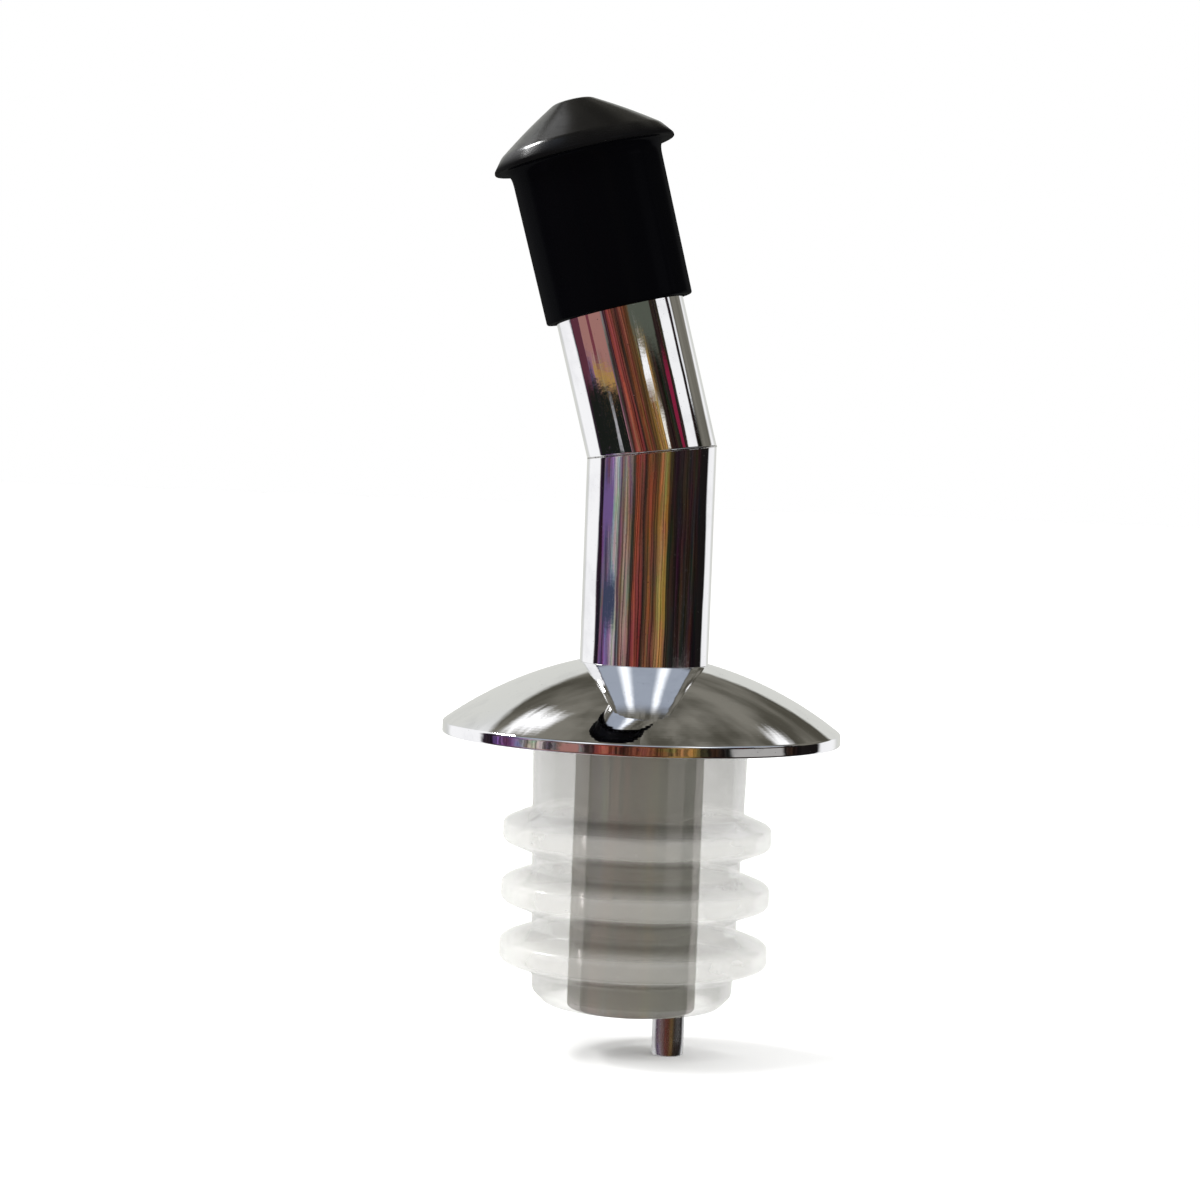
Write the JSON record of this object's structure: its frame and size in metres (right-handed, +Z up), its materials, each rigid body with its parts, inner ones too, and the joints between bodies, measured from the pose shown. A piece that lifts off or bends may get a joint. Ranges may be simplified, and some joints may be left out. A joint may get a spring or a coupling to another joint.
{
  "type": "liquor pour spout",
  "caption": "Pour spout for a liquor bottle: bent chrome tube, domed drip collar, ribbed translucent stopper, breather tube and slip-on black dust cap.",
  "frame": {"origin": "on the stem's axis, in the plane of the drip collar's underside, where the bottle's neck is entered", "axes": "+Z up along the stem, away from the bottle; the nozzle leans 15 degrees towards -X; the part is its own mirror image across the XZ plane"},
  "size_m": [0.031, 0.031, 0.0742],
  "materials": {
    "cap_rubber": "satin moulded black",
    "chrome_plate": "mirror-bright plating",
    "milky_plastic": "translucent, milky, soft gloss",
    "plain_steel": "drawn tube, plain",
    "white_plastic": "moulded, matt"
  },
  "bodies": {
    "spout": {"nozzle_tube": "chrome_plate", "stem_tube": "chrome_plate", "drip_collar": "chrome_plate", "stopper": "milky_plastic", "breather_tube": "plain_steel", "breather_holder": "white_plastic"},
    "cap": {"dust_cap": "cap_rubber"}
  },
  "joints": [
    {"name": "cap_pull_off", "type": "slide", "parent": "spout", "child": "cap", "axis": [-0.2588, 0, 0.9659], "range_m": [0, 0.018]}
  ]
}
